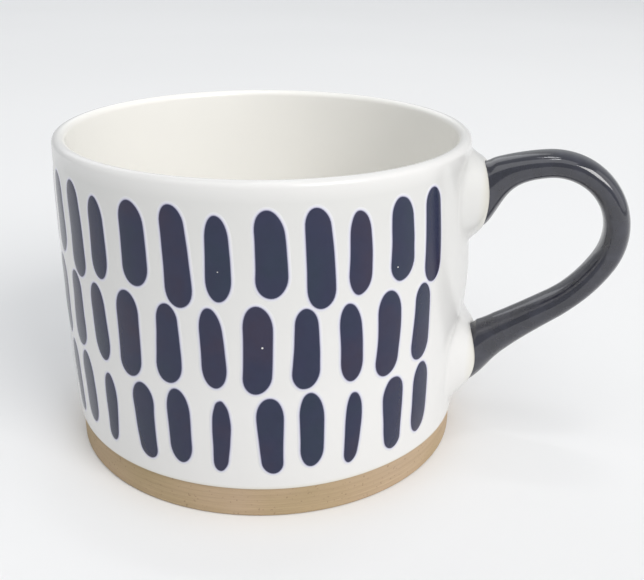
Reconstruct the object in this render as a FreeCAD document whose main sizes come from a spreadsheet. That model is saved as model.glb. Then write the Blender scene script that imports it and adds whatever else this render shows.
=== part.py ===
"""Stoneware mug: a clay cup and handle strap, their joint pads, three glaze coats and painted strokes.

The mug stands on the XY plane with its axis on Z, and its handle points along +X.
"""
import FreeCAD, Part
import math
import os
import re

import Sketcher
from FreeCAD import Placement, Rotation, Vector

# Driving dimensions, in millimetres and degrees.
SIZES = {
    "mug_height": 72.0,
    "rim_radius": 46.0,
    "wall_thickness": 2.8,
    "wall_bow_radius": 800.0,
    "floor_thickness": 5.0,
    "corner_radius": 9.0,
    "foot_radius": 45.4,
    "foot_round": 1.0,
    "band_height": 7.0,
    "glaze_thickness": 0.4,
    # The handle's centre line: shoulder, bend and heel arcs. rise and fall are headings in degrees
    # above and below the horizontal.
    "shoulder_start_x": 47.0,
    "shoulder_start_z": 62.9,
    "shoulder_rise": 26.0,
    "shoulder_radius": 46.0,
    "crest_rise": 6.0,
    "bend_radius": 14.4,
    "bend_fall": 118.0,
    "heel_radius": 33.0,
    "heel_fall": 145.0,
    # The strap's glazed sections, and the roots where the dark glaze ends. section_rounding is the
    # corner radius as a share of the section's smaller half.
    "strap_width": 9.0,
    "shoulder_thickness": 5.4,
    "bend_thickness": 5.5,
    "heel_thickness": 7.4,
    "section_rounding": 0.85,
    "neck_width": 10.5,
    "neck_reach": 3.6,
    "upper_neck_height": 9.6,
    "upper_neck_rise": 4.2,
    "upper_neck_heading": 14.0,
    "lower_neck_height": 8.4,
    "root_x": 50.0,
    "root_width": 11.2,
    "upper_root_height": 14.4,
    "upper_root_z": 59.6,
    "lower_root_height": 13.6,
    "lower_root_z": 20.9,
    # The pads of clay between the roots and the wall.
    "pad_start_x": 44.0,
    "pad_width": 20.0,
    "pad_height": 20.0,
    "stroke_thickness": 0.25,
    "stroke_repeat": 33.4,
}

# Each row repeats three strokes round the wall. One stroke is its angle clockwise from the handle,
# its width, and the heights of its two ends.
STROKE_KINDS = {
    "upper": {
        "long": (29.3, 5.5, 47.2, 67.1),
        "wide": (40.5, 5.9, 50.0, 66.9),
        "slim": (52.6, 4.8, 49.0, 65.8),
    },
    "middle": {
        "long": (32.6, 5.4, 30.5, 47.6),
        "wide": (44.0, 5.9, 29.8, 48.4),
        "slim": (54.6, 5.0, 30.7, 47.6),
    },
    "lower": {
        "long": (30.9, 5.0, 12.1, 29.5),
        "wide": (41.3, 5.3, 11.1, 28.8),
        "slim": (53.4, 3.7, 11.3, 28.0),
    },
}
STROKE_FIELDS = ("angle", "width", "foot", "top")
STROKES_PER_ROW = 28

# The strap's sections round its bend: the path's heading there in degrees, and the thickness.
BEND_SECTIONS = (
    (-10.0, "shoulder_thickness"),
    (-36.0, "(shoulder_thickness + bend_thickness) / 2"),
    (-62.0, "bend_thickness"),
    (-90.0, "bend_thickness"),
)

NODES = [
    "cup_body",
    "handle_core",
    "upper_handle_joint",
    "lower_handle_joint",
    "outer_glaze",
    "liner_glaze",
    "handle_glaze",
    "upper_stroke_row",
    "middle_stroke_row",
    "lower_stroke_row",
]

doc = FreeCAD.newDocument("stoneware_mug")


def make_sheet():
    """The spreadsheet with one aliased cell for each driving dimension."""
    sizes = dict(SIZES)
    for row, kinds in STROKE_KINDS.items():
        for kind, values in kinds.items():
            for field, value in zip(STROKE_FIELDS, values):
                sizes[f"{row}_{kind}_{field}"] = value
    sheet = doc.addObject("Spreadsheet::Sheet", "Sizes")
    for line, (alias, value) in enumerate(sizes.items(), start=1):
        sheet.set(f"A{line}", alias)
        sheet.set(f"B{line}", str(value))
        sheet.setAlias(f"B{line}", alias)
    doc.recompute()
    return sheet


sheet = make_sheet()


def size(alias):
    """The number in the cell with this alias."""
    return float(sheet.get(alias))


def in_sheet(expression):
    """The same expression with each alias spelled as a reference into the spreadsheet."""
    return re.sub(r"\b[a-z]\w*\b(?!\()", lambda word: f"Sizes.{word.group()}", expression)


def value_of(expression):
    """What an expression of aliases comes to now."""
    return float(sheet.evalExpression(expression))


def new_body(name):
    """An empty body with its own label."""
    body = doc.addObject("PartDesign::Body", name)
    body.Label = name
    return body


def plane_sketch(body, name, role):
    """A sketch attached to one of the body's own origin planes."""
    plane = next(item for item in body.Origin.OriginFeatures if item.Role == role)
    sketch = body.newObject("Sketcher::SketchObject", name)
    sketch.AttachmentSupport = (plane, "")
    sketch.MapMode = "FlatFace"
    return sketch


def bind(sketch, name, constraint, expression):
    """Add a dimension to a sketch, name it, and bind it to the spreadsheet."""
    index = sketch.addConstraint(constraint)
    sketch.renameConstraint(index, name)
    sketch.setExpression(f"Constraints.{name}", in_sheet(expression))


def arc_through(start, end, radius):
    """The short arc from start to end that bows to the right of the way from start to end."""
    chord = end - start
    half = chord.Length / 2
    outward = Vector(chord.y, -chord.x, 0).normalize()
    bow = radius - math.sqrt(max(radius**2 - half**2, 0.0))
    middle = (start + end) / 2 + outward * bow
    return Part.ArcOfCircle(start, middle, end)


def draw_outline(sketch, corners, arcs):
    """Draw a closed outline whose corners and arcs are expressions of the sheet's aliases.

    corners is a list of (x, y) expressions. arcs maps the number of an edge, which starts at the
    corner of that number, to a side and a radius: side 1 bows to the right of the way round and
    side -1 to the left. A half circle is held by its centre's height instead of by its radius.
    """
    points = [Vector(value_of(x), value_of(y), 0) for x, y in corners]
    ends = []
    for number, start in enumerate(points):
        end = points[(number + 1) % len(points)]
        if number in arcs:
            side, radius = arcs[number]
            first, last = (start, end) if side > 0 else (end, start)
            curve = arc_through(first, last, value_of(radius))
        else:
            curve = Part.LineSegment(start, end)
        sketch.addGeometry(curve, False)
        runs_forward = curve.StartPoint.distanceToPoint(start) < 1e-6
        ends.append((1, 2) if runs_forward else (2, 1))
    for number in range(len(points)):
        following = (number + 1) % len(points)
        join = (number, ends[number][1], following, ends[following][0])
        sketch.addConstraint(Sketcher.Constraint("Coincident", *join))
    for number, (x, y) in enumerate(corners):
        place_corner(sketch, number, ends[number][0], points[number], (x, y))
    for number, (_, radius) in arcs.items():
        start, end = points[number], points[(number + 1) % len(points)]
        is_half_circle = abs(start.distanceToPoint(end) - 2 * value_of(radius)) < 1e-6
        if is_half_circle:
            centre = Sketcher.Constraint("DistanceY", -1, 1, number, 3, start.y)
            bind(sketch, f"centre_{number}", centre, corners[number][1])
        else:
            curved = Sketcher.Constraint("Radius", number, value_of(radius))
            bind(sketch, f"radius_{number}", curved, radius)


def place_corner(sketch, number, end, point, expressions):
    """Hold one corner of an outline by its two distances from the origin, or on an axis."""
    across, up = expressions
    if across == "0":
        sketch.addConstraint(Sketcher.Constraint("PointOnObject", number, end, -2))
    else:
        held = Sketcher.Constraint("DistanceX", -1, 1, number, end, point.x)
        bind(sketch, f"across_{number}", held, across)
    if up == "0":
        sketch.addConstraint(Sketcher.Constraint("PointOnObject", number, end, -1))
    else:
        held = Sketcher.Constraint("DistanceY", -1, 1, number, end, point.y)
        bind(sketch, f"up_{number}", held, up)


def turned(name, corners, arcs):
    """A body made by turning an outline in the XZ plane once round the mug's axis."""
    body = new_body(name)
    sketch = plane_sketch(body, f"{name}_profile", "XZ_Plane")
    draw_outline(sketch, corners, arcs)
    turn = body.newObject("PartDesign::Revolution", f"{name}_turn")
    turn.Profile = sketch
    turn.ReferenceAxis = (sketch, ["V_Axis"])
    turn.Angle = 360.0
    return body


LIP_Z = "mug_height - wall_thickness / 2"
CLAY_RIM = "rim_radius - glaze_thickness"
CLAY_INSIDE = "rim_radius - wall_thickness + glaze_thickness"
GLAZE_INSIDE = "rim_radius - wall_thickness"
CORNER_START = "floor_thickness + corner_radius"
CORNER_END = "rim_radius - wall_thickness + glaze_thickness - corner_radius"


def cup_body():
    """The clay cup: a flat foot, a slightly bowed wall with a round lip, and a floor."""
    corners = [
        ("0", "0"),
        ("foot_radius - foot_round", "0"),
        ("foot_radius", "foot_round"),
        ("foot_radius", "band_height"),
        (CLAY_RIM, LIP_Z),
        (CLAY_INSIDE, LIP_Z),
        (CLAY_INSIDE, CORNER_START),
        (CORNER_END, "floor_thickness"),
        ("0", "floor_thickness"),
    ]
    arcs = {
        1: (1, "foot_round"),
        3: (1, "wall_bow_radius - glaze_thickness"),
        4: (1, "wall_thickness / 2 - glaze_thickness"),
        6: (-1, "corner_radius"),
    }
    return turned("cup_body", corners, arcs)


def outer_coat():
    """The white coat outside: from the glaze line above the foot, up the wall and over the lip."""
    corners = [
        ("foot_radius", "band_height"),
        ("foot_radius + glaze_thickness", "band_height"),
        ("rim_radius", LIP_Z),
        (GLAZE_INSIDE, LIP_Z),
        (CLAY_INSIDE, LIP_Z),
        (CLAY_RIM, LIP_Z),
    ]
    arcs = {
        1: (1, "wall_bow_radius"),
        2: (1, "wall_thickness / 2"),
        4: (-1, "wall_thickness / 2 - glaze_thickness"),
        5: (-1, "wall_bow_radius - glaze_thickness"),
    }
    return turned("outer_coat", corners, arcs)


def liner_glaze():
    """The white coat inside: down the wall from the lip, round the corner and over the floor."""
    corners = [
        (CLAY_INSIDE, LIP_Z),
        (GLAZE_INSIDE, LIP_Z),
        (GLAZE_INSIDE, CORNER_START),
        (CORNER_END, "floor_thickness + glaze_thickness"),
        ("0", "floor_thickness + glaze_thickness"),
        ("0", "floor_thickness"),
        (CORNER_END, "floor_thickness"),
        (CLAY_INSIDE, CORNER_START),
    ]
    arcs = {
        2: (-1, "corner_radius - glaze_thickness"),
        6: (1, "corner_radius"),
    }
    return turned("liner_glaze", corners, arcs)


def stroke_layer():
    """The thin layer outside the white coat that every stroke is cut from."""
    corners = [
        ("foot_radius + glaze_thickness", "band_height"),
        ("foot_radius + glaze_thickness + stroke_thickness", "band_height"),
        ("rim_radius + stroke_thickness", LIP_Z),
        ("rim_radius", LIP_Z),
    ]
    arcs = {
        1: (1, "wall_bow_radius + stroke_thickness"),
        3: (-1, "wall_bow_radius"),
    }
    return turned("stroke_layer", corners, arcs)


def strap_section(body, name, station, width, thickness):
    """A rounded rectangle across the handle at one station of its path.

    station is the section's x and z and the path's heading there. width and thickness are
    expressions of the sheet's aliases, and bind the section's dimensions.
    """
    x, z, heading = station
    sketch = plane_sketch(body, name, "YZ_Plane")
    turn = Rotation(Vector(1, 0, 0), -heading)
    sketch.AttachmentOffset = Placement(Vector(0, z, x), turn)
    half_width = value_of(width) / 2
    half_thickness = value_of(thickness) / 2
    round_radius = size("section_rounding") * min(half_width, half_thickness)
    flat_y = half_width - round_radius
    flat_z = half_thickness - round_radius
    sides = [
        (Vector(-flat_y, -half_thickness), Vector(flat_y, -half_thickness)),
        (Vector(half_width, -flat_z), Vector(half_width, flat_z)),
        (Vector(flat_y, half_thickness), Vector(-flat_y, half_thickness)),
        (Vector(-half_width, flat_z), Vector(-half_width, -flat_z)),
    ]
    centres = [
        Vector(flat_y, -flat_z),
        Vector(flat_y, flat_z),
        Vector(-flat_y, flat_z),
        Vector(-flat_y, -flat_z),
    ]
    for number, (side, centre) in enumerate(zip(sides, centres)):
        sketch.addGeometry(Part.LineSegment(*side), False)
        circle = Part.Circle(centre, Vector(0, 0, 1), round_radius)
        quarter = math.radians(90 * (number - 1))
        sketch.addGeometry(Part.ArcOfCircle(circle, quarter, quarter + math.pi / 2), False)
    for number in range(4):
        line, arc, following = 2 * number, 2 * number + 1, (2 * number + 2) % 8
        sketch.addConstraint(Sketcher.Constraint("Tangent", line, 2, arc, 1))
        sketch.addConstraint(Sketcher.Constraint("Tangent", arc, 2, following, 1))
        if number:
            sketch.addConstraint(Sketcher.Constraint("Equal", 1, arc))
    sketch.addConstraint(Sketcher.Constraint("Symmetric", 0, 1, 0, 2, -2))
    sketch.addConstraint(Sketcher.Constraint("Symmetric", 2, 1, 2, 2, -1))
    sketch.addConstraint(Sketcher.Constraint("Horizontal", 4))
    sketch.addConstraint(Sketcher.Constraint("Vertical", 6))
    across = Sketcher.Constraint("DistanceX", -1, 1, 2, 1, half_width)
    bind(sketch, "half_width", across, f"({width}) / 2")
    up = Sketcher.Constraint("DistanceY", -1, 1, 4, 1, half_thickness)
    bind(sketch, "half_thickness", up, f"({thickness}) / 2")
    rounding = Sketcher.Constraint("Radius", 1, round_radius)
    smaller_half = f"min(({width}) / 2; ({thickness}) / 2)"
    bind(sketch, "round_radius", rounding, f"section_rounding * {smaller_half}")
    return sketch


def handle_path():
    """The handle's centre line as a function from heading to (x, z, heading).

    It runs clockwise along three tangent arcs, so the heading, in degrees above +X, falls all
    the way from the shoulder's rise to the heel's fall.
    """
    arcs = []
    start = Vector(size("shoulder_start_x"), size("shoulder_start_z"))
    heading = size("shoulder_rise")
    for name, end in (
        ("shoulder_radius", size("crest_rise")),
        ("bend_radius", -size("bend_fall")),
        ("heel_radius", -size("heel_fall")),
    ):
        radius = size(name)
        first, last = math.radians(heading), math.radians(end)
        centre = start + radius * Vector(math.sin(first), -math.cos(first))
        arcs.append((end, centre, radius))
        start = centre + radius * Vector(-math.sin(last), math.cos(last))
        heading = end

    def at(angle):
        _, middle, arc_radius = next(arc for arc in arcs if angle >= arc[0] - 1e-9)
        turn = math.radians(angle)
        point = middle + arc_radius * Vector(-math.sin(turn), math.cos(turn))
        return point.x, point.y, angle

    return at


def coat_less(dimension):
    """A glazed dimension's expression without the coat on its two sides."""
    return f"{dimension} - 2 * glaze_thickness"


def lofted(name, sections, bare):
    """A body lofted through sections of (station, width, thickness); bare ones leave out the coat."""
    body = new_body(name)
    sketches = []
    for number, (station, width, thickness) in enumerate(sections):
        if bare:
            width = coat_less(width)
            thickness = coat_less(thickness)
        sketches.append(strap_section(body, f"{name}_{number}", station, width, thickness))
    loft = body.newObject("PartDesign::AdditiveLoft", f"{name}_loft")
    loft.Profile = sketches[0]
    loft.Sections = sketches[1:]
    return body


def strap_sections():
    """The strap's sections from the upper root, round the loop, to the lower root."""
    at = handle_path()
    root_x = size("root_x")
    neck_x = root_x + size("neck_reach")
    upper_z = size("upper_root_z")
    upper_neck = (neck_x, upper_z + size("upper_neck_rise"), size("upper_neck_heading"))
    bend_end = -size("bend_fall")
    heel_end = -size("heel_fall")
    heel_x, heel_z, _ = at(heel_end)
    slope = math.tan(math.radians(heel_end))
    lower_neck = (neck_x, heel_z - slope * (heel_x - neck_x), heel_end)
    return [
        ((root_x, upper_z, 0.0), "root_width", "upper_root_height"),
        (upper_neck, "neck_width", "upper_neck_height"),
        (at(size("upper_neck_heading")), "strap_width", "shoulder_thickness"),
        *((at(heading), "strap_width", thickness) for heading, thickness in BEND_SECTIONS),
        (at(bend_end), "strap_width", "(bend_thickness + heel_thickness) / 2"),
        (at((bend_end + heel_end) / 2), "strap_width", "heel_thickness"),
        (at(heel_end), "strap_width", "heel_thickness"),
        (lower_neck, "neck_width", "lower_neck_height"),
        ((root_x, size("lower_root_z"), -180.0), "root_width", "lower_root_height"),
    ]


def pad_sections(side):
    """One joint pad's two sections: inside the cup's wall, and at the handle's root."""
    root_z = size(f"{side}_root_z")
    return [
        ((size("pad_start_x"), root_z, 0.0), "pad_width", "pad_height"),
        ((size("root_x"), root_z, 0.0), "root_width", f"{side}_root_height"),
    ]


def cut(name, base, tools):
    """One shape with others cut away, one after another."""
    left = base
    for number, tool in enumerate(tools, start=1):
        is_last = number == len(tools)
        result = doc.addObject("Part::Cut", name if is_last else f"{name}_cut_{number}")
        result.Base = left
        result.Tool = tool
        left = result
    left.Label = name
    return left


def fused(name, shapes):
    """Several shapes as one solid."""
    result = doc.addObject("Part::MultiFuse", name)
    result.Shapes = shapes
    return result


def brush_shapes(row):
    """Radial prisms with round ends, one for each stroke of a row."""
    prisms = []
    reach = 2 * size("rim_radius")
    kinds = list(STROKE_KINDS[row])
    for number in range(STROKES_PER_ROW):
        kind = f"{row}_{kinds[number % len(kinds)]}"
        turn = size(f"{kind}_angle") + number // len(kinds) * size("stroke_repeat")
        half_width = size(f"{kind}_width") / 2
        low = size(f"{kind}_foot") + half_width
        high = size(f"{kind}_top") - half_width
        outline = Part.Wire([
            Part.LineSegment(Vector(0, half_width, low), Vector(0, half_width, high)).toShape(),
            Part.Arc(
                Vector(0, half_width, high),
                Vector(0, 0, high + half_width),
                Vector(0, -half_width, high),
            ).toShape(),
            Part.LineSegment(Vector(0, -half_width, high), Vector(0, -half_width, low)).toShape(),
            Part.Arc(
                Vector(0, -half_width, low),
                Vector(0, 0, low - half_width),
                Vector(0, half_width, low),
            ).toShape(),
        ])
        prism = Part.Face(outline).extrude(Vector(reach, 0, 0))
        prisms.append(prism.rotated(Vector(0, 0, 0), Vector(0, 0, 1), -turn))
    brush = doc.addObject("Part::Feature", f"{row}_brush_shapes")
    brush.Shape = Part.Compound(prisms)
    return brush


def stroke_row(row, layer):
    """One row of painted strokes: the layer where the brush shapes cross it."""
    strokes = doc.addObject("Part::Common", f"{row}_stroke_row")
    strokes.Label = f"{row}_stroke_row"
    strokes.Base = layer
    strokes.Tool = brush_shapes(row)
    return strokes


def build():
    """Make every sub-part of the mug in the document."""
    cup = cup_body()
    liner_glaze()
    strap = strap_sections()
    core = lofted("handle_core", strap, bare=True)
    cut("handle_glaze", lofted("handle_coat", strap, bare=False), [core])
    joints = []
    pad_coats = []
    for side in ("upper", "lower"):
        sections = pad_sections(side)
        pad = lofted(f"{side}_pad_clay", sections, bare=True)
        joints.append(cut(f"{side}_handle_joint", pad, [cup]))
        pad_coats.append(lofted(f"{side}_pad_coat", sections, bare=False))
    whole_coat = fused("whole_coat", [outer_coat(), *pad_coats])
    cut("outer_glaze", whole_coat, [cup, *joints])
    layer = stroke_layer()
    for row in STROKE_KINDS:
        stroke_row(row, layer)


def check_and_write():
    """Stop on any failed object or shape, then write one STEP file for each node."""
    doc.recompute()
    for item in doc.Objects:
        if "Invalid" in item.State or "Error" in item.State:
            raise RuntimeError(f"{item.Label} did not compute: {item.State}")
    os.makedirs("parts", exist_ok=True)
    for node in NODES:
        shape = doc.getObject(node).Shape
        if shape.isNull() or not shape.isValid() or not shape.Solids:
            raise RuntimeError(f"{node} has no valid solid")
        print(f"{node}: {len(shape.Solids)} solids, {shape.Volume:.1f} mm3")
        shape.exportStep(f"parts/{node}.step")


build()
check_and_write()
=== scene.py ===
"""Stoneware mug: clay cup, looped strap handle, white and dark glaze, rows of painted strokes."""
import math

import bpy
import numpy as np
from mathutils import Matrix, Vector


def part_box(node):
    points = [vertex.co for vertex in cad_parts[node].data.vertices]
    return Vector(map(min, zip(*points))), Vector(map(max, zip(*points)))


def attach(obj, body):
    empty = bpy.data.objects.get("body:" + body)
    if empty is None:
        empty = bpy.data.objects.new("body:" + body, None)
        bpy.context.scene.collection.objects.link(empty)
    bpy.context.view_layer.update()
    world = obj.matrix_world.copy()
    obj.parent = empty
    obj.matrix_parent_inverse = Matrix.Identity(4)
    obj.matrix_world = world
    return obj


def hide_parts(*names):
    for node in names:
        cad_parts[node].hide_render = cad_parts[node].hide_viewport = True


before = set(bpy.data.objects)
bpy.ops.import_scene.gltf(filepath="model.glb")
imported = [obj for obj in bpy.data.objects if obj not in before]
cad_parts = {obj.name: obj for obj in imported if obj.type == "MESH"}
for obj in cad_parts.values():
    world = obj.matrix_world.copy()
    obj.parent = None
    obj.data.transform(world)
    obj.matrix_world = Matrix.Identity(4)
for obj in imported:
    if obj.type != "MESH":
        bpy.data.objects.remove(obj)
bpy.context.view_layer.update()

MM = 0.001

# Places and sizes that the frame gives.
COAT_LOW, COAT_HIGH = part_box("outer_glaze")
MUG_HEIGHT = COAT_HIGH.z
BAND_TOP = COAT_LOW.z
ROOT_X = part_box("handle_glaze")[0].x

# The cup's own sizes. Radii are of the glazed surface unless they say clay.
GLAZE = 0.4 * MM
RIM_RADIUS = 46.0 * MM
BAND_RADIUS = 45.8 * MM
WALL_BOW = 0.63 * MM
WALL = 2.8 * MM
FLOOR_Z = 5.4 * MM
CORNER = 8.6 * MM
FOOT_ROUND = 0.6 * MM
LIP_Z = MUG_HEIGHT - WALL / 2


def wall_radius(z):
    """The glazed wall's radius at a height: a slight bow between the band and the lip."""
    part = np.clip((z - BAND_TOP) / (LIP_Z - BAND_TOP), 0, 1)
    return BAND_RADIUS + (RIM_RADIUS - BAND_RADIUS) * part + WALL_BOW * 4 * part * (1 - part)


def smooth_step(part):
    """0 up to part 0, 1 from part 1, and an S curve between."""
    part = np.clip(part, 0, 1)
    return part * part * (3 - 2 * part)


# The hand-finished wall's waves: their depth, and how fast two of them turn, in radians a metre.
WAVE_DEPTH = 0.035 * MM
FIVE_LOBE_TURN = 35 / (72 * MM)
TWO_LOBE_TURN = 80


def hand_wave(angle, z):
    """How far the hand-finished wall strays from true, in metres, at an angle and height."""
    three_lobes = np.sin(3 * angle + 1.3)
    five_lobes = 0.7 * np.sin(5 * angle - FIVE_LOBE_TURN * z)
    two_lobes = 0.6 * np.sin(2 * angle + TWO_LOBE_TURN * z)
    return WAVE_DEPTH * (three_lobes + five_lobes + two_lobes)


class Joint:
    """Where one end of the handle flows into the wall: the root's outline and its flank's reach.

    drop_up and drop_down are how far short of the root the white glaze stops, above and below.
    """

    def __init__(self, z, half_height, reach_up, reach_down, drop_up, drop_down, heading):
        self.z = z * MM
        self.half_height = half_height * MM
        self.half_width = 5.6 * MM
        self.reach_up = reach_up * MM
        self.reach_down = reach_down * MM
        self.reach_side = 13.0 * MM
        self.drop_up = drop_up * MM
        self.drop_down = drop_down * MM
        self.heading = math.radians(heading)

    def root_x(self, y, z):
        """The x where the white glaze stops: it climbs the strap's sides."""
        sideways = (y / self.half_width) ** 2
        upwards = ((z - self.z) / self.half_height) ** 2
        side_share = sideways / (sideways + upwards + 0.01)
        drop = np.where(z > self.z, self.drop_up, self.drop_down)
        return ROOT_X - drop + (SIDE_CLIMB + drop) * side_share

    def flank_part(self, y, z):
        """0 on the root's outline, 1 where the flank has died into the wall, less than 0 inside."""
        up = z - self.z
        reach = np.where(up > 0, self.reach_up, self.reach_down)
        inner = self.norm(y / self.half_width, up / self.half_height)
        outer = self.norm(y / self.reach_side, up / reach)
        inner = np.maximum(inner, 1e-3)
        outer = np.maximum(outer, 1e-4)
        return (1 - 1 / inner) / (1 / outer - 1 / inner)

    def flank_point(self, angle, part):
        """The y and z at an angle round the root, a part of the way out along the flank."""
        y, up = np.cos(angle), np.sin(angle)
        reach = np.where(up > 0, self.reach_up, self.reach_down)
        inner = 1 / self.norm(y / self.half_width, up / self.half_height)
        outer = 1 / self.norm(y / self.reach_side, up / reach)
        distance = inner + part * (outer - inner)
        return y * distance, self.z + up * distance

    @staticmethod
    def norm(a, b, power=2.4):
        """A rounded box's distance measure."""
        return (np.abs(a) ** power + np.abs(b) ** power) ** (1 / power)


# Heights and reaches in millimetres, and the heading in degrees.
UPPER = Joint(z=59.6, half_height=7.2, reach_up=10.2, reach_down=11.2, drop_up=0.3, drop_down=0.1,
              heading=0)
LOWER = Joint(z=20.9, half_height=6.8, reach_up=13.0, reach_down=12.0, drop_up=0.4, drop_down=1.3,
              heading=-180)
# How far the white glaze climbs the strap's sides past the root.
SIDE_CLIMB = 1.35 * MM
# Above 1, a flank is hollower than an even S curve from the wall to the root.
FLANK_HOLLOW = 1.25
# The wall swells a little between the two joints.
SWELL = 0.9 * MM
SWELL_Z = 41.0 * MM
SWELL_REACH = 9.0 * MM


def joint_x(x, y, z):
    """The wall's x at a point, moved out to the handle's root where the point is on a joint."""
    swell = SWELL * np.exp(-(y / SWELL_REACH) ** 2 - ((z - SWELL_Z) / SWELL_REACH) ** 2)
    moved = np.where(x > 0, x + swell, x)
    for joint in (UPPER, LOWER):
        share = (1 - smooth_step(joint.flank_part(y, z))) ** FLANK_HOLLOW
        share = np.where(x > 0, share, 0)
        moved = moved + (joint.root_x(y, z) - moved) * share
    return moved


def make_object(name, points, faces, material):
    """A smooth mesh object that rides on the root body."""
    mesh = bpy.data.meshes.new(name)
    mesh.from_pydata([tuple(point) for point in points], [], faces)
    mesh.validate()
    mesh.materials.append(material)
    mesh.shade_smooth()
    piece = bpy.data.objects.new(name, mesh)
    bpy.context.scene.collection.objects.link(piece)
    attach(piece, "root")
    return piece


def ring_faces(rings, around, close=False):
    """Quads between rings of points, and between the last and the first when they close."""
    faces = []
    for ring in range(rings if close else rings - 1):
        low = ring * around
        high = (ring + 1) % rings * around
        for step in range(around):
            following = (step + 1) % around
            faces.append((low + step, low + following, high + following, high + step))
    return faces


def fan_faces(ring, around, pole, is_last):
    """Triangles from the first or the last ring of points to a pole, facing away from the rest."""
    low = ring * around
    faces = []
    for step in range(around):
        edge = (low + step, low + (step + 1) % around)
        faces.append((*edge, pole) if is_last else (edge[1], edge[0], pole))
    return faces


def capped(name, rings, material):
    """A closed solid through rings of points, with a fan at each end."""
    around = len(rings[0])
    poles = [(ring.min(axis=0) + ring.max(axis=0)) / 2 for ring in (rings[0], rings[-1])]
    points = np.concatenate([*rings, poles])
    faces = ring_faces(len(rings), around)
    faces += fan_faces(0, around, len(points) - 2, False)
    faces += fan_faces(len(rings) - 1, around, len(points) - 1, True)
    return make_object(name, points, faces, material)


# The handle's joints lie within this angle on each side of it.
JOINT_ANGLE = math.radians(17)


def columns(fine_steps, coarse_steps):
    """Angles round the cup, closer together where the handle joins it."""
    fine = np.linspace(-JOINT_ANGLE, JOINT_ANGLE, fine_steps)
    coarse = np.linspace(JOINT_ANGLE, 2 * math.pi - JOINT_ANGLE, coarse_steps)
    return np.concatenate([fine, coarse[1:-1]])


def arc_points(centre, radius, start, end, count):
    """Points along a circular arc in the (radius, z) plane, its angles in degrees."""
    turn = np.radians(np.linspace(start, end, count))
    return [(centre[0] + radius * math.cos(a), centre[1] + radius * math.sin(a)) for a in turn]


def coat_rows(inset, steps):
    """The cup's skin as (radius, z) rows from above the glaze line, over the lip, to the floor.

    inset moves the rows into the glaze. steps is how many rows the wall, lip, inside, corner and
    floor get.
    """
    wall, lip, inside, corner, floor = steps
    inner_radius = RIM_RADIUS - WALL + inset
    corner_centre = (RIM_RADIUS - WALL - CORNER, FLOOR_Z + CORNER)
    rows = [(wall_radius(z) - inset, z) for z in np.linspace(BAND_TOP + GLAZE, LIP_Z, wall)]
    lip_centre = (RIM_RADIUS - WALL / 2, LIP_Z)
    rows += arc_points(lip_centre, WALL / 2 - inset, 0, 180, lip)[1:]
    rows += [(inner_radius, z) for z in np.linspace(LIP_Z, corner_centre[1], inside)[1:]]
    rows += arc_points(corner_centre, CORNER + inset, 0, -90, corner)[1:]
    rows += [(r, FLOOR_Z - inset) for r in np.linspace(corner_centre[0], MM, floor)[1:]]
    return rows


# The inside's hand waves are this share of the outside's at the wall, and fade towards the middle.
INSIDE_WAVE = 0.3
# The glaze line above the bare band isn't quite level: its wave's depth, and how far up it reaches.
LINE_WAVE = 0.10 * MM
LINE_WAVE_REACH = 1.5 * MM


def line_lift(angles, z):
    """How far the glaze line's unevenness lifts a row of points at a height."""
    wave = np.sin(2 * angles + 0.5) + 0.5 * np.sin(7 * angles)
    return LINE_WAVE * wave * math.exp(-(z - BAND_TOP) / LINE_WAVE_REACH)


def cup_point_rows(rows, angles, inset):
    """Rows of points round the cup, with its hand waves and its two handle joints."""
    result = []
    for radius, z in rows:
        is_wall = radius > RIM_RADIUS - WALL / 2
        fade = 1.0 if is_wall else INSIDE_WAVE * radius / RIM_RADIUS
        spin = radius + inset + fade * hand_wave(angles, z)
        x, y = spin * np.cos(angles), spin * np.sin(angles)
        height = np.full_like(angles, z)
        if is_wall and z < LIP_Z:
            x = joint_x(x, y, height)
            height = height + line_lift(angles, z)
        result.append(np.stack([x - inset * np.cos(angles), y - inset * np.sin(angles), height], 1))
    return result


def white_coat(material):
    """The white glaze as one thin closed shell: outside, over the lip, and down the inside."""
    angles = columns(100, 220)
    bead_centre = (BAND_RADIUS - GLAZE, BAND_TOP + GLAZE)
    bead = arc_points(bead_centre, GLAZE, -85, 0, 6)[:-1]
    skin = bead + coat_rows(0.0, (160, 18, 24, 12, 12))
    under = coat_rows(GLAZE, (80, 8, 8, 6, 4))[::-1]
    rings = cup_point_rows(under, angles, GLAZE) + cup_point_rows(skin, angles, 0.0)
    coat = capped("white_glaze_coat", rings, material)
    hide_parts("outer_glaze", "liner_glaze")


# The turned foot's ridges: their depth, and the height that one radian of each takes.
RIDGE_DEPTH = 0.022 * MM
COARSE_RIDGE = 0.21 * MM
FINE_RIDGE = 0.093 * MM
FOOT_RADIUS = BAND_RADIUS - GLAZE
# How far the foot's straight side runs on behind the white glaze, and the clay's gap to the glaze.
UNDER_COAT = 0.3 * MM
COAT_CLEARANCE = 0.02 * MM


def wheel_marks(angles, z):
    """The fine level ridges that turning leaves in bare clay, in metres."""
    drift = 0.6 * np.sin(angles + 0.4) + 0.4 * np.sin(3 * angles)
    coarse = np.sin(z / COARSE_RIDGE + drift)
    fine = np.sin(z / FINE_RIDGE - 2 * drift)
    return RIDGE_DEPTH * (coarse + 0.6 * fine)


def clay_rows():
    """The clay cup's skin as (radius, z) rows: underneath, up the foot, and inside the glaze."""
    foot_centre = (FOOT_RADIUS - FOOT_ROUND, FOOT_ROUND)
    rows = [(r, 0.0) for r in np.linspace(MM, foot_centre[0], 24)]
    rows += arc_points(foot_centre, FOOT_ROUND, -90, 0, 8)[1:]
    rows += [(FOOT_RADIUS, z) for z in np.linspace(FOOT_ROUND, BAND_TOP + UNDER_COAT, 50)[1:]]
    return rows + coat_rows(GLAZE, (20, 6, 8, 6, 4))[1:]


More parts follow.
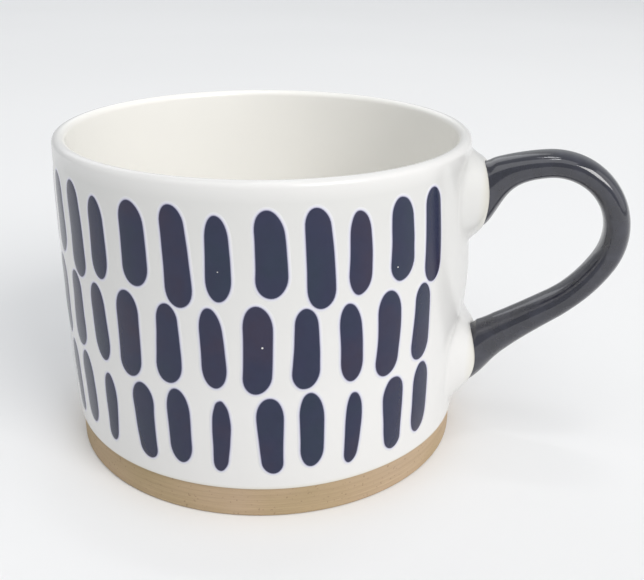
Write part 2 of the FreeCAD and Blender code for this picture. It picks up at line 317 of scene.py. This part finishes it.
def clay_cup(material):
    """The clay cup: the bare foot with its wheel marks, and the body inside the glaze."""
    angles = np.linspace(0, 2 * math.pi, 240, endpoint=False)
    rings = []
    for radius, z in clay_rows():
        spin = np.full_like(angles, radius)
        if z <= BAND_TOP and radius > FOOT_RADIUS - FOOT_ROUND:
            spin += wheel_marks(angles, z) * min(1.0, z / FOOT_ROUND)
        elif z > BAND_TOP and radius > RIM_RADIUS - WALL / 2:
            spin += hand_wave(angles, z) - COAT_CLEARANCE
        height = np.full_like(angles, z)
        rings.append(np.stack([spin * np.cos(angles), spin * np.sin(angles), height], 1))
    cup = capped("clay_cup", rings, material)
    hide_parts("cup_body")


# The handle's centre line: each arc's radius and the headings it runs between, in degrees.
SHOULDER_START = (47.0 * MM, 62.9 * MM)
STRAP_ARCS = (
    (46.0 * MM, 26, 6),
    (14.4 * MM, 6, -118),
    (33.0 * MM, -118, -145),
)
STRAP_STEP = 0.1 * MM
HALF_STRAP_WIDTH = 4.5 * MM
SHOULDER_THICKNESS = 5.4 * MM
BEND_THICKNESS = 5.5 * MM
HEEL_THICKNESS = 7.4 * MM
# The thickness at marks along the strap, which are shares of its length.
THICKNESS_MARKS = (0.0, 0.22, 0.45, 0.62, 0.8, 1.0)
THICKNESSES = (SHOULDER_THICKNESS, SHOULDER_THICKNESS, BEND_THICKNESS, BEND_THICKNESS,
               HEEL_THICKNESS, HEEL_THICKNESS)
# How much closer together the sections stand at the two roots, where the strap flares.
CROWDING = 0.65
# How far the strap runs in under the white glaze of each joint.
ROOT_DEPTH = 2.4 * MM
FLARE_LENGTH = 3.3 * MM
FLARE_POWER = 2.4


def strap_line():
    """Closely spaced (x, z, heading) along the handle, from the upper root to the lower root."""
    x, z = SHOULDER_START
    line = []
    for radius, start, end in STRAP_ARCS:
        centre_x = x + radius * math.sin(math.radians(start))
        centre_z = z - radius * math.cos(math.radians(start))
        count = round(radius * math.radians(start - end) / STRAP_STEP)
        for turn in np.radians(np.linspace(start, end, count)):
            x = centre_x - radius * math.sin(turn)
            z = centre_z + radius * math.cos(turn)
            line.append((x, z, turn))
    heading = line[-1][2]
    while x > ROOT_X:
        x += STRAP_STEP * math.cos(heading)
        z += STRAP_STEP * math.sin(heading)
        line.append((x, z, heading))
    return np.array([station for station in line if station[0] >= ROOT_X])


def strap_stations(count, inset):
    """The strap's sections: x, z, heading, half width and half thickness, from root to root."""
    line = strap_line()
    lengths = np.concatenate([[0], np.cumsum(np.hypot(np.diff(line[:, 0]), np.diff(line[:, 1])))])
    whole = lengths[-1]
    share = np.linspace(0, 1, count)
    along = whole * (share - CROWDING * np.sin(2 * math.pi * share) / (2 * math.pi))
    x, z, heading = (np.interp(along, lengths, line[:, axis]) for axis in range(3))
    half_thickness = np.interp(share, THICKNESS_MARKS, THICKNESSES) / 2
    half_width = np.full(count, HALF_STRAP_WIDTH)
    for joint, distance, root in ((UPPER, along, 0), (LOWER, whole - along, -1)):
        flare = 1 / (1 + (distance / FLARE_LENGTH) ** FLARE_POWER)
        z = z + flare * (joint.z - z[root])
        heading = heading + flare * (joint.heading - heading)
        half_thickness = half_thickness + flare * (joint.half_height - half_thickness)
        half_width = half_width + flare * (joint.half_width - half_width)
    return x, z, heading, half_width - inset, half_thickness - inset


def strap_rings(count, angles, inset):
    """Rings of points round the strap; angle 90 degrees is the outside of the loop."""
    rings = []
    for x, z, heading, half_width, half_thickness in zip(*strap_stations(count, inset)):
        size = Joint.norm(np.cos(angles) / half_width, np.sin(angles) / half_thickness)
        across = np.cos(angles) / size
        out = np.sin(angles) / size
        x_row = x - out * math.sin(heading)
        z_row = z + out * math.cos(heading)
        rings.append(np.stack([x_row, across, z_row], 1))
    return rings


def flank_ring(joint, angles, part, lift):
    """A ring of points on a joint's flank, lifted off the white glaze."""
    y, z = joint.flank_point(angles, part)
    wall_x = np.sqrt((wall_radius(z) + hand_wave(y / RIM_RADIUS, z)) ** 2 - y ** 2)
    return np.stack([joint_x(wall_x, y, z) + lift, y, z], 1)


def root_ring(joint, angles, x, inset):
    """A ring of points round a root's outline, at an x inside the joint."""
    half_width = joint.half_width - inset
    half_height = joint.half_height - inset
    size = Joint.norm(np.cos(angles) / half_width, np.sin(angles) / half_height)
    out = np.sin(angles) / size * math.cos(joint.heading)
    return np.stack([np.full_like(angles, x), np.cos(angles) / size, joint.z + out], 1)


def sleeve_rings(angles, inset):
    """Rings along the whole handle, from inside the upper joint to inside the lower joint."""
    depths = np.linspace(ROOT_X - ROOT_DEPTH, ROOT_X, 4)[:-1]
    upper = [root_ring(UPPER, angles, x, inset) for x in depths]
    lower = [root_ring(LOWER, angles, x, inset) for x in depths[::-1]]
    return upper + strap_rings(150, angles, inset) + lower


def dark_strap(material):
    """The dark glaze on the handle: a closed sleeve whose two ends run into the white joints."""
    angles = np.linspace(0, 2 * math.pi, 96, endpoint=False)
    rings = sleeve_rings(angles, 0.0) + sleeve_rings(angles, GLAZE)[::-1]
    strap = make_object("dark_glaze_strap", np.concatenate(rings),
                        ring_faces(len(rings), len(angles), close=True), material)
    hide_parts("handle_glaze")


def clay_strap(material):
    """The handle's clay, under its dark glaze."""
    angles = np.linspace(0, 2 * math.pi, 48, endpoint=False)
    strap = capped("clay_strap", sleeve_rings(angles, GLAZE), material)
    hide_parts("handle_core")


# How much of the flank's reach the clay pad has, and how deep it lies under the white surface.
PAD_SHARE = 0.8
PAD_DEPTH = 1.5 * GLAZE


def clay_pad(joint, name, node, material):
    """The clay that joins one end of the handle to the cup, under the white glaze."""
    angles = np.linspace(0, 2 * math.pi, 48, endpoint=False)
    back = flank_ring(joint, angles, PAD_SHARE, 0.0)
    back[:, 0] = RIM_RADIUS - WALL + GLAZE
    rings = [back]
    rings += [flank_ring(joint, angles, part, -PAD_DEPTH) for part in np.linspace(PAD_SHARE, 0, 9)]
    pad = capped(name, rings, material)
    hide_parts(node)


# The painted strokes. Each kind repeats round the cup, clockwise from the handle seen from above.
STROKE_REPEAT = math.radians(33.4)
STROKES_PER_ROW = 28
SIDE_POINTS = 28
# Each ring of a stroke: its share of the way from spine to edge, its height, and its darkness.
STROKE_RINGS = (
    (0.12, 0.100 * MM, 1.0),
    (0.45, 0.098 * MM, 1.0),
    (0.72, 0.085 * MM, 1.0),
    (0.88, 0.065 * MM, 1.0),
    (0.96, 0.045 * MM, 0.85),
    (1.00, 0.032 * MM, 0.55),
)
# The halo's rings lie outside the edge: how far out, the height, and the darkness.
HALO_RINGS = (
    (0.12 * MM, 0.022 * MM, 0.30),
    (0.30 * MM, 0.014 * MM, 0.14),
    (0.65 * MM, 0.005 * MM, 0.03),
    (0.80 * MM, -0.060 * MM, 0.0),
)
STROKE_UNDERSIDE = -0.12 * MM
# How much a stroke's edge strays, as a share of the way out from its spine.
UNEVENNESS = 0.035
# The spine stops short of each end by this share of the end's rounding.
SPINE_STOP = 0.8
STROKE_SEED = 7


class Stroke:
    """One kind of painted stroke, in millimetres, with its angle from the handle in degrees.

    offset moves its spine sideways, lean and bow tilt and bend it, and taper widens the stroke
    towards its top. Its two ends are rounded over foot_round and top_round.
    """

    def __init__(self, angle, foot, top, width, lean, taper, top_round, foot_round, bow, offset):
        self.angle = math.radians(angle)
        self.foot = foot * MM
        self.top = top * MM
        self.width = width * MM
        self.lean = lean * MM
        self.taper = taper
        self.top_round = top_round * MM
        self.foot_round = foot_round * MM
        self.bow = bow * MM
        self.offset = offset * MM

    def spine(self, z):
        """How far the middle of the stroke is to the side of its angle."""
        part = (z - self.foot) / (self.top - self.foot)
        return self.offset + self.lean * (part - 0.5) + self.bow * (1 - (2 * part - 1) ** 2)

    def half_width(self, z):
        """Half the stroke's width at a height."""
        part = (z - self.foot) / (self.top - self.foot)
        into_top = np.clip((self.top - z) / self.top_round, 0, 1)
        into_foot = np.clip((z - self.foot) / self.foot_round, 0, 1)
        caps = np.sqrt(1 - (1 - into_top) ** 2) * np.sqrt(1 - (1 - into_foot) ** 2)
        return self.width / 2 * (1 + self.taper * (2 * part - 1)) * caps

    def outline(self, unevenness, chance):
        """Points round the edge, up the right side and down the left, and their spine points."""
        share = (1 - np.cos(np.linspace(0, math.pi, SIDE_POINTS + 1))) / 2
        right_z = self.foot + share * (self.top - self.foot)
        left_z = right_z[-2:0:-1]
        z = np.concatenate([right_z, left_z])
        side = np.concatenate([np.ones(len(right_z)), -np.ones(len(left_z))])
        edge = np.stack([self.spine(z) + side * self.half_width(z), z], 1)
        lowest = self.foot + SPINE_STOP * self.foot_round
        highest = self.top - SPINE_STOP * self.top_round
        middle_z = np.clip(z, lowest, highest)
        middle = np.stack([self.spine(middle_z), middle_z], 1)
        turn = np.linspace(0, 2 * math.pi, len(z), endpoint=False)
        stretch = np.ones(len(z))
        for lobes in (2, 3, 5, 7, 11):
            depth = unevenness / lobes * chance.normal()
            phase = chance.uniform(0, 6.3)
            stretch += depth * np.sin(lobes * turn + phase)
        return middle + (edge - middle) * stretch[:, None], middle


STROKE_KINDS = {
    "upper": (
        Stroke(angle=29.3, foot=47.2, top=67.1, width=5.15, lean=-1.16, taper=-0.10,
               top_round=3.4, foot_round=4.3, bow=0.29, offset=-0.27),
        Stroke(angle=40.5, foot=50.0, top=66.9, width=5.71, lean=-0.66, taper=-0.085,
               top_round=4.2, foot_round=4.2, bow=0.48, offset=-0.53),
        Stroke(angle=52.6, foot=49.0, top=65.8, width=4.50, lean=-0.42, taper=-0.09,
               top_round=4.4, foot_round=4.7, bow=0.26, offset=-0.30),
    ),
    "middle": (
        Stroke(angle=32.6, foot=30.5, top=47.6, width=4.98, lean=0.17, taper=-0.164,
               top_round=3.3, foot_round=4.3, bow=0.30, offset=-0.17),
        Stroke(angle=44.0, foot=29.8, top=48.4, width=5.58, lean=0.33, taper=0.02,
               top_round=4.8, foot_round=3.8, bow=0.36, offset=-0.30),
        Stroke(angle=54.6, foot=30.7, top=47.6, width=4.62, lean=-0.92, taper=-0.035,
               top_round=5.1, foot_round=4.6, bow=0.17, offset=-0.21),
    ),
    "lower": (
        Stroke(angle=30.9, foot=12.1, top=29.5, width=4.83, lean=-0.36, taper=0.02,
               top_round=5.5, foot_round=4.4, bow=0.26, offset=-0.28),
        Stroke(angle=41.3, foot=11.1, top=28.8, width=4.95, lean=-0.59, taper=0.167,
               top_round=5.2, foot_round=2.6, bow=-0.20, offset=0.24),
        Stroke(angle=53.4, foot=11.3, top=28.0, width=3.53, lean=0.57, taper=0.211,
               top_round=7.8, foot_round=2.6, bow=0.30, offset=-0.31),
    ),
}


def on_wall(angle, sideways, z, height):
    """Points on the glazed wall: to the side of an angle, at a height, lifted off the glaze."""
    turn = angle + sideways / RIM_RADIUS
    radius = wall_radius(z) + hand_wave(turn, z) + height
    return np.stack([radius * np.cos(turn), radius * np.sin(turn), z], 1)


def stroke_mesh(kind, angle, chance):
    """One stroke's points, faces and the darkness of each point."""
    edge, middle = kind.outline(UNEVENNESS, chance)
    outward = np.gradient(edge, axis=0)
    outward[0] = edge[1] - edge[-1]
    outward[-1] = edge[0] - edge[-2]
    outward = np.stack([outward[:, 1], -outward[:, 0]], 1)
    outward /= np.linalg.norm(outward, axis=1)[:, None]
    inside = edge - middle
    flat_rings = [(middle + share * inside, lift, dark) for share, lift, dark in STROKE_RINGS]
    flat_rings += [(edge + reach * outward, lift, dark) for reach, lift, dark in HALO_RINGS]
    flat_rings.append((middle, STROKE_UNDERSIDE, 0.0))
    around = len(edge)
    points, darkness = [], []
    for ring, lift, dark in reversed(flat_rings):
        points.append(on_wall(angle, ring[:, 0], ring[:, 1], lift))
        darkness += [dark] * around
    faces = ring_faces(len(points), around)
    faces += strip_faces(0, around, False)
    faces += strip_faces((len(points) - 1) * around, around, True)
    return np.concatenate(points), faces, darkness


def strip_faces(first, around, is_last):
    """Faces that fill the first or last ring, from its up-going side to its down-going side."""
    half = around // 2
    faces = []
    for step in range(half):
        right = (first + step, first + step + 1)
        left = (first + (around - step) % around, first + (around - step - 1) % around)
        corners = [right[0], right[1], left[1], left[0]]
        corners = list(dict.fromkeys(corners))
        faces.append(tuple(corners if is_last else corners[::-1]))
    return faces


def stroke_row(row, chance, material):
    """One row of painted strokes right round the cup, apart from the handle."""
    points, faces, darkness = [], [], []
    count = 0
    for number in range(STROKES_PER_ROW):
        repeat, which = divmod(number, len(STROKE_KINDS[row]))
        kind = STROKE_KINDS[row][which]
        angle = -(kind.angle + repeat * STROKE_REPEAT)
        stroke_points, stroke_faces, stroke_darkness = stroke_mesh(kind, angle, chance)
        points.append(stroke_points)
        faces += [tuple(corner + count for corner in face) for face in stroke_faces]
        darkness += stroke_darkness
        count += len(stroke_points)
    strokes = make_object(f"{row}_strokes", np.concatenate(points), faces, material)
    layer = strokes.data.attributes.new("darkness", "FLOAT", "POINT")
    layer.data.foreach_set("value", darkness)
    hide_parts(f"{row}_stroke_row")


# Pinholes where the white glaze shows through a stroke: the angle in degrees, height and radius.
PINHOLES = (
    (-76.3, 39.9 * MM, 0.20 * MM),
    (-86.1, 55.1 * MM, 0.12 * MM),
    (-42.2, 53.0 * MM, 0.16 * MM),
)
# Each ring of a pinhole: its share of the radius and its height.
PINHOLE_RINGS = ((1.0, 0.0), (1.0, 0.09 * MM), (0.85, 0.12 * MM), (0.4, 0.14 * MM))


def pinholes(material):
    """Low domes of white glaze that break through the painted strokes."""
    turn = np.linspace(0, 2 * math.pi, 20, endpoint=False)
    for number, (angle, z, radius) in enumerate(PINHOLES, start=1):
        rings = []
        for share, lift in PINHOLE_RINGS:
            across = share * radius * np.cos(turn)
            up = z + share * radius * np.sin(turn)
            rings.append(on_wall(math.radians(angle), across, up, lift))
        hole = capped(f"glaze_pinhole_{number}", rings, material)


class Look:
    """A material's node tree, with short calls for the nodes that the looks share."""

    def __init__(self, name):
        self.material = bpy.data.materials.new(name)
        self.material.use_nodes = True
        self.tree = self.material.node_tree
        self.shader = self.tree.nodes["Principled BSDF"]
        self.place = self.tree.nodes.new("ShaderNodeTexCoord").outputs["Object"]

    def node(self, kind, **links):
        """A new node, with its sockets linked or set by name."""
        made = self.tree.nodes.new(kind)
        for name, value in links.items():
            self.put(made.inputs[name.replace("_", " ")], value)
        return made

    def put(self, socket, value):
        """Link an output to a socket, or set the socket's value."""
        if isinstance(value, bpy.types.NodeSocket):
            self.tree.links.new(value, socket)
        else:
            socket.default_value = value

    def noise(self, scale, detail=2.0, stretch=(1, 1, 1)):
        """Noise with about scale features a metre, squeezed by stretch."""
        mapping = self.node("ShaderNodeMapping", Vector=self.place, Scale=stretch)
        texture = self.node("ShaderNodeTexNoise", Vector=mapping.outputs[0], Scale=scale,
                            Detail=detail)
        return texture.outputs[0]

    def ramp(self, value, *stops):
        """A colour ramp through (position, colour) stops."""
        made = self.node("ShaderNodeValToRGB", Fac=value)
        elements = made.color_ramp.elements
        while len(elements) < len(stops):
            elements.new(0.5)
        for element, (position, colour) in zip(elements, stops):
            element.position = position
            element.color = (*colour, 1)
        return made.outputs[0]

    def mix(self, factor, a, b):
        """Two colours mixed by a factor."""
        made = self.tree.nodes.new("ShaderNodeMix")
        made.data_type = "RGBA"
        self.put(made.inputs[0], factor)
        self.put(made.inputs[6], a if isinstance(a, bpy.types.NodeSocket) else (*a, 1))
        self.put(made.inputs[7], b if isinstance(b, bpy.types.NodeSocket) else (*b, 1))
        return made.outputs[2]

    def span(self, value, low, high):
        """A 0 to 1 value stretched over a range of numbers."""
        made = self.node("ShaderNodeMapRange", Value=value, To_Min=low, To_Max=high)
        return made.outputs[0]

    def between(self, value, low, high, most=1.0):
        """0 where a value is at low, rising to most where it is at high."""
        made = self.node("ShaderNodeMapRange", Value=value, From_Min=low, From_Max=high,
                         To_Max=most)
        return made.outputs[0]

    def both(self, a, b):
        """The product of two numbers."""
        made = self.tree.nodes.new("ShaderNodeMath")
        made.operation = "MULTIPLY"
        self.put(made.inputs[0], a)
        self.put(made.inputs[1], b)
        return made.outputs[0]

    def bump(self, height, distance):
        """Surface relief of a height in metres, on the shader's normal."""
        made = self.node("ShaderNodeBump", Height=height, Distance=distance)
        self.put(self.shader.inputs["Normal"], made.outputs[0])

    def finish(self, colour, roughness):
        """Set the shader's colour and roughness, and give back the material."""
        self.put(self.shader.inputs["Base Color"], colour)
        self.put(self.shader.inputs["Roughness"], roughness)
        return self.material


# The white glaze's tints: outside, painted darker as shade; inside, creamier and painted lighter as
# light; where the dip left it uneven; painted shade that makes it greyer up the wall; and where it
# thins out, at the glaze line and at the handle's roots.
OUTSIDE_WHITE_PAINTED_SHADE = (0.77, 0.76, 0.745)
INSIDE_CREAM_PAINTED_LIGHT = (0.92, 0.905, 0.865)
UNEVEN_WHITE = (0.66, 0.67, 0.66)
UPPER_PAINTED_SHADE = (0.61, 0.61, 0.59)
THIN_WHITE = (0.66, 0.62, 0.47)
# Heights that the painted shade of the upper wall rises between.
PAINTED_SHADE_LOW = 25 * MM
PAINTED_SHADE_HIGH = 64 * MM


def outside_share(look):
    """0 inside the cup and 1 on its outside, changing over the lip."""
    level = look.node("ShaderNodeVectorMath", Vector=look.place)
    level.operation = "MULTIPLY"
    level.inputs[1].default_value = (1, 1, 0)
    reach = look.node("ShaderNodeVectorMath", Vector=level.outputs[0])
    reach.operation = "LENGTH"
    return look.between(reach.outputs["Value"], RIM_RADIUS - 0.8 * WALL, RIM_RADIUS - 0.4 * WALL)


def white_glaze():
    """Glossy white, creamier inside; painted light inside, painted shade outside and up the outer
    wall; yellowish at its edges, with a dipped coat's uneven tint.
    """
    look = Look("white_glaze")
    outside = outside_share(look)
    # Painted light and shade: the inside is painted lighter and the outside darker than the glaze's
    # own white; only the inside's creamier tint is its own.
    colour = look.mix(outside, INSIDE_CREAM_PAINTED_LIGHT, OUTSIDE_WHITE_PAINTED_SHADE)
    tint = look.span(look.noise(35, 3), 0.0, 0.12)
    colour = look.mix(tint, colour, UNEVEN_WHITE)
    along = look.node("ShaderNodeSeparateXYZ", Vector=look.place)
    # Painted shade: the outer wall is painted greyer towards its top, fading out just below the
    # lip.
    upwards = look.between(along.outputs["Z"], PAINTED_SHADE_LOW, PAINTED_SHADE_HIGH, 0.55)
    below_lip = look.between(along.outputs["Z"], MUG_HEIGHT - 1.0 * MM, MUG_HEIGHT - 4.0 * MM)
    upper = look.both(look.both(upwards, below_lip), outside)
    colour = look.mix(upper, colour, UPPER_PAINTED_SHADE)
    near_line = look.between(along.outputs["Z"], BAND_TOP + 1.0 * MM, BAND_TOP, 0.45)
    near_root = look.between(along.outputs["X"], ROOT_X - 0.9 * MM, ROOT_X + SIDE_CLIMB, 0.45)
    for edge in (look.both(near_line, outside), near_root):
        colour = look.mix(edge, colour, THIN_WHITE)
    look.bump(look.noise(160, 2), 0.05 * MM)
    return look.finish(colour, look.span(look.noise(90), 0.16, 0.24))


def dark_glaze():
    """Nearly black blue glaze, a little mottled."""
    look = Look("dark_glaze")
    mottle = look.noise(260, 4)
    colour = look.ramp(mottle, (0.3, (0.014, 0.015, 0.024)), (0.55, (0.022, 0.023, 0.036)),
                       (0.8, (0.036, 0.038, 0.056)))
    look.put(look.shader.inputs["IOR"], 1.75)
    look.put(look.shader.inputs["Sheen Weight"], 0.2)
    look.put(look.shader.inputs["Sheen Roughness"], 0.45)
    look.bump(look.noise(420, 3), 0.03 * MM)
    return look.finish(colour, look.span(look.noise(150), 0.06, 0.15))


# Where a stroke's halo dies out it is nearly the white of the coat.
HALO_EDGE = tuple(0.985 * part for part in OUTSIDE_WHITE_PAINTED_SHADE)


def stroke_glaze():
    """Dark blue paint under the glaze, which bleeds pale violet into the white round its edge."""
    look = Look("stroke_glaze")
    hue = look.noise(75, 3)
    dark = look.ramp(hue, (0.32, (0.006, 0.016, 0.040)), (0.5, (0.009, 0.012, 0.044)),
                     (0.68, (0.020, 0.013, 0.038)))
    pool = look.noise(420, 3)
    dark = look.mix(look.span(pool, 0.0, 0.4), dark, (0.020, 0.028, 0.078))
    darkness = look.tree.nodes.new("ShaderNodeAttribute")
    darkness.attribute_name = "darkness"
    fade = darkness.outputs["Fac"]
    halo = look.ramp(fade, (0.0, HALO_EDGE), (0.14, (0.67, 0.67, 0.73)),
                     (0.35, (0.42, 0.41, 0.54)), (0.6, (0.10, 0.10, 0.17)))
    solid = look.between(fade, 0.45, 0.85)
    look.bump(look.noise(160, 2), 0.05 * MM)
    colour = look.mix(solid, halo, dark)
    return look.finish(colour, look.span(look.noise(90), 0.16, 0.26))


def bare_clay():
    """Unglazed tan stoneware: level turning lines, olive and orange patches, iron specks."""
    look = Look("bare_clay")
    patch = look.noise(40, 4)
    body = look.ramp(patch, (0.3, (0.44, 0.335, 0.185)), (0.5, (0.50, 0.37, 0.23)),
                     (0.7, (0.54, 0.40, 0.275)))
    lines = look.noise(900, 3, stretch=(0.04, 0.04, 1.6))
    body = look.mix(look.span(lines, 0.0, 0.5), body, (0.27, 0.19, 0.11))
    specks = look.ramp(look.noise(1500, 1), (0.68, (0, 0, 0)), (0.74, (1, 1, 1)))
    body = look.mix(look.span(specks, 0.0, 0.45), body, (0.16, 0.09, 0.05))
    look.bump(look.noise(1400, 3, stretch=(0.3, 0.3, 1.5)), 0.05 * MM)
    return look.finish(body, look.span(lines, 0.7, 0.9))


def stage_floor():
    """A plain pale floor."""
    look = Look("pale_floor")
    colour = look.ramp(look.noise(3, 1), (0.4, (0.86, 0.86, 0.86)), (0.6, (0.87, 0.87, 0.87)))
    bpy.ops.mesh.primitive_plane_add(size=12)
    floor = bpy.context.object
    floor.name = "floor"
    floor.data.materials.append(look.finish(colour, 0.9))


# The colours of the lights and of the surroundings.
WARM = (1.0, 0.985, 0.97)
NEUTRAL = (1.0, 1.0, 1.0)
TUBE = (0.99, 0.99, 1.0)
COOL = (0.97, 0.98, 1.0)
SKY = (0.94, 0.97, 1.0)


def soft_light(name, azimuth, elevation, distance, size, power, colour):
    """An area light that faces the mug: its direction in degrees, its two sizes in metres."""
    data = bpy.data.lights.new(name, "AREA")
    data.shape = "RECTANGLE"
    data.size, data.size_y = size
    data.energy = power
    data.color = colour
    around, up = math.radians(azimuth), math.radians(elevation)
    away = Vector((math.cos(around) * math.cos(up), math.sin(around) * math.cos(up), math.sin(up)))
    light = bpy.data.objects.new(name, data)
    light.location = distance * away
    light.rotation_euler = away.to_track_quat("Z", "Y").to_euler()
    bpy.context.scene.collection.objects.link(light)


def studio_light():
    """Pale surroundings, soft lights from right, front and behind, and two tubes overhead."""
    world = bpy.data.worlds.new("studio")
    world.use_nodes = True
    background = world.node_tree.nodes["Background"]
    background.inputs["Color"].default_value = (*SKY, 1)
    background.inputs["Strength"].default_value = 0.45
    bpy.context.scene.world = world
    soft_light("key", -38, 36.5, 2.5, (1.15, 1.25), 28, WARM)
    soft_light("side", -8, 26, 3.5, (3.5, 2.8), 22, WARM)
    soft_light("front", -100, 66, 4.0, (4.0, 3.0), 36, NEUTRAL)
    soft_light("near_tube", -60, 81, 2.2, (0.45, 0.06), 2, TUBE)
    soft_light("far_tube", 85, 77, 2.2, (0.45, 0.06), 2, TUBE)
    soft_light("back", 125, 38, 3.0, (2.8, 1.8), 14, COOL)
    bpy.context.scene.view_settings.view_transform = "Standard"


# The camera's place in metres, and the way it points in degrees: clockwise from +Y, down, roll.
CAMERA_PLACE = Vector((0.0492, -0.1834, 0.1133))
CAMERA_HEADING = -11.0
CAMERA_PITCH = 23.22
CAMERA_ROLL = 0.70
CAMERA_LENS = 47.52


def photo_camera():
    """The camera, where the photographer stood: front left of the handle, looking down."""
    heading = math.radians(CAMERA_HEADING)
    pitch = math.radians(CAMERA_PITCH)
    forward = Vector((math.sin(heading) * math.cos(pitch), math.cos(heading) * math.cos(pitch),
                      -math.sin(pitch)))
    right = Vector((math.cos(heading), -math.sin(heading), 0))
    up = right.cross(forward)
    axes = Matrix((right, up, -forward)).transposed().to_4x4()
    roll = Matrix.Rotation(math.radians(CAMERA_ROLL), 4, "Z")
    data = bpy.data.cameras.new("camera")
    data.lens = CAMERA_LENS
    data.clip_start = 0.01
    camera = bpy.data.objects.new("camera", data)
    camera.matrix_world = Matrix.Translation(CAMERA_PLACE) @ axes @ roll
    bpy.context.scene.collection.objects.link(camera)
    bpy.context.scene.camera = camera


def build():
    """Make every piece, then the stage, light and camera."""
    white, dark, clay = white_glaze(), dark_glaze(), bare_clay()
    white_coat(white)
    clay_cup(clay)
    dark_strap(dark)
    clay_strap(clay)
    clay_pad(UPPER, "upper_clay_pad", "upper_handle_joint", clay)
    clay_pad(LOWER, "lower_clay_pad", "lower_handle_joint", clay)
    paint = stroke_glaze()
    chance = np.random.default_rng(STROKE_SEED)
    for row in STROKE_KINDS:
        stroke_row(row, chance, paint)
    pinholes(white)
    stage_floor()
    studio_light()
    photo_camera()


build()
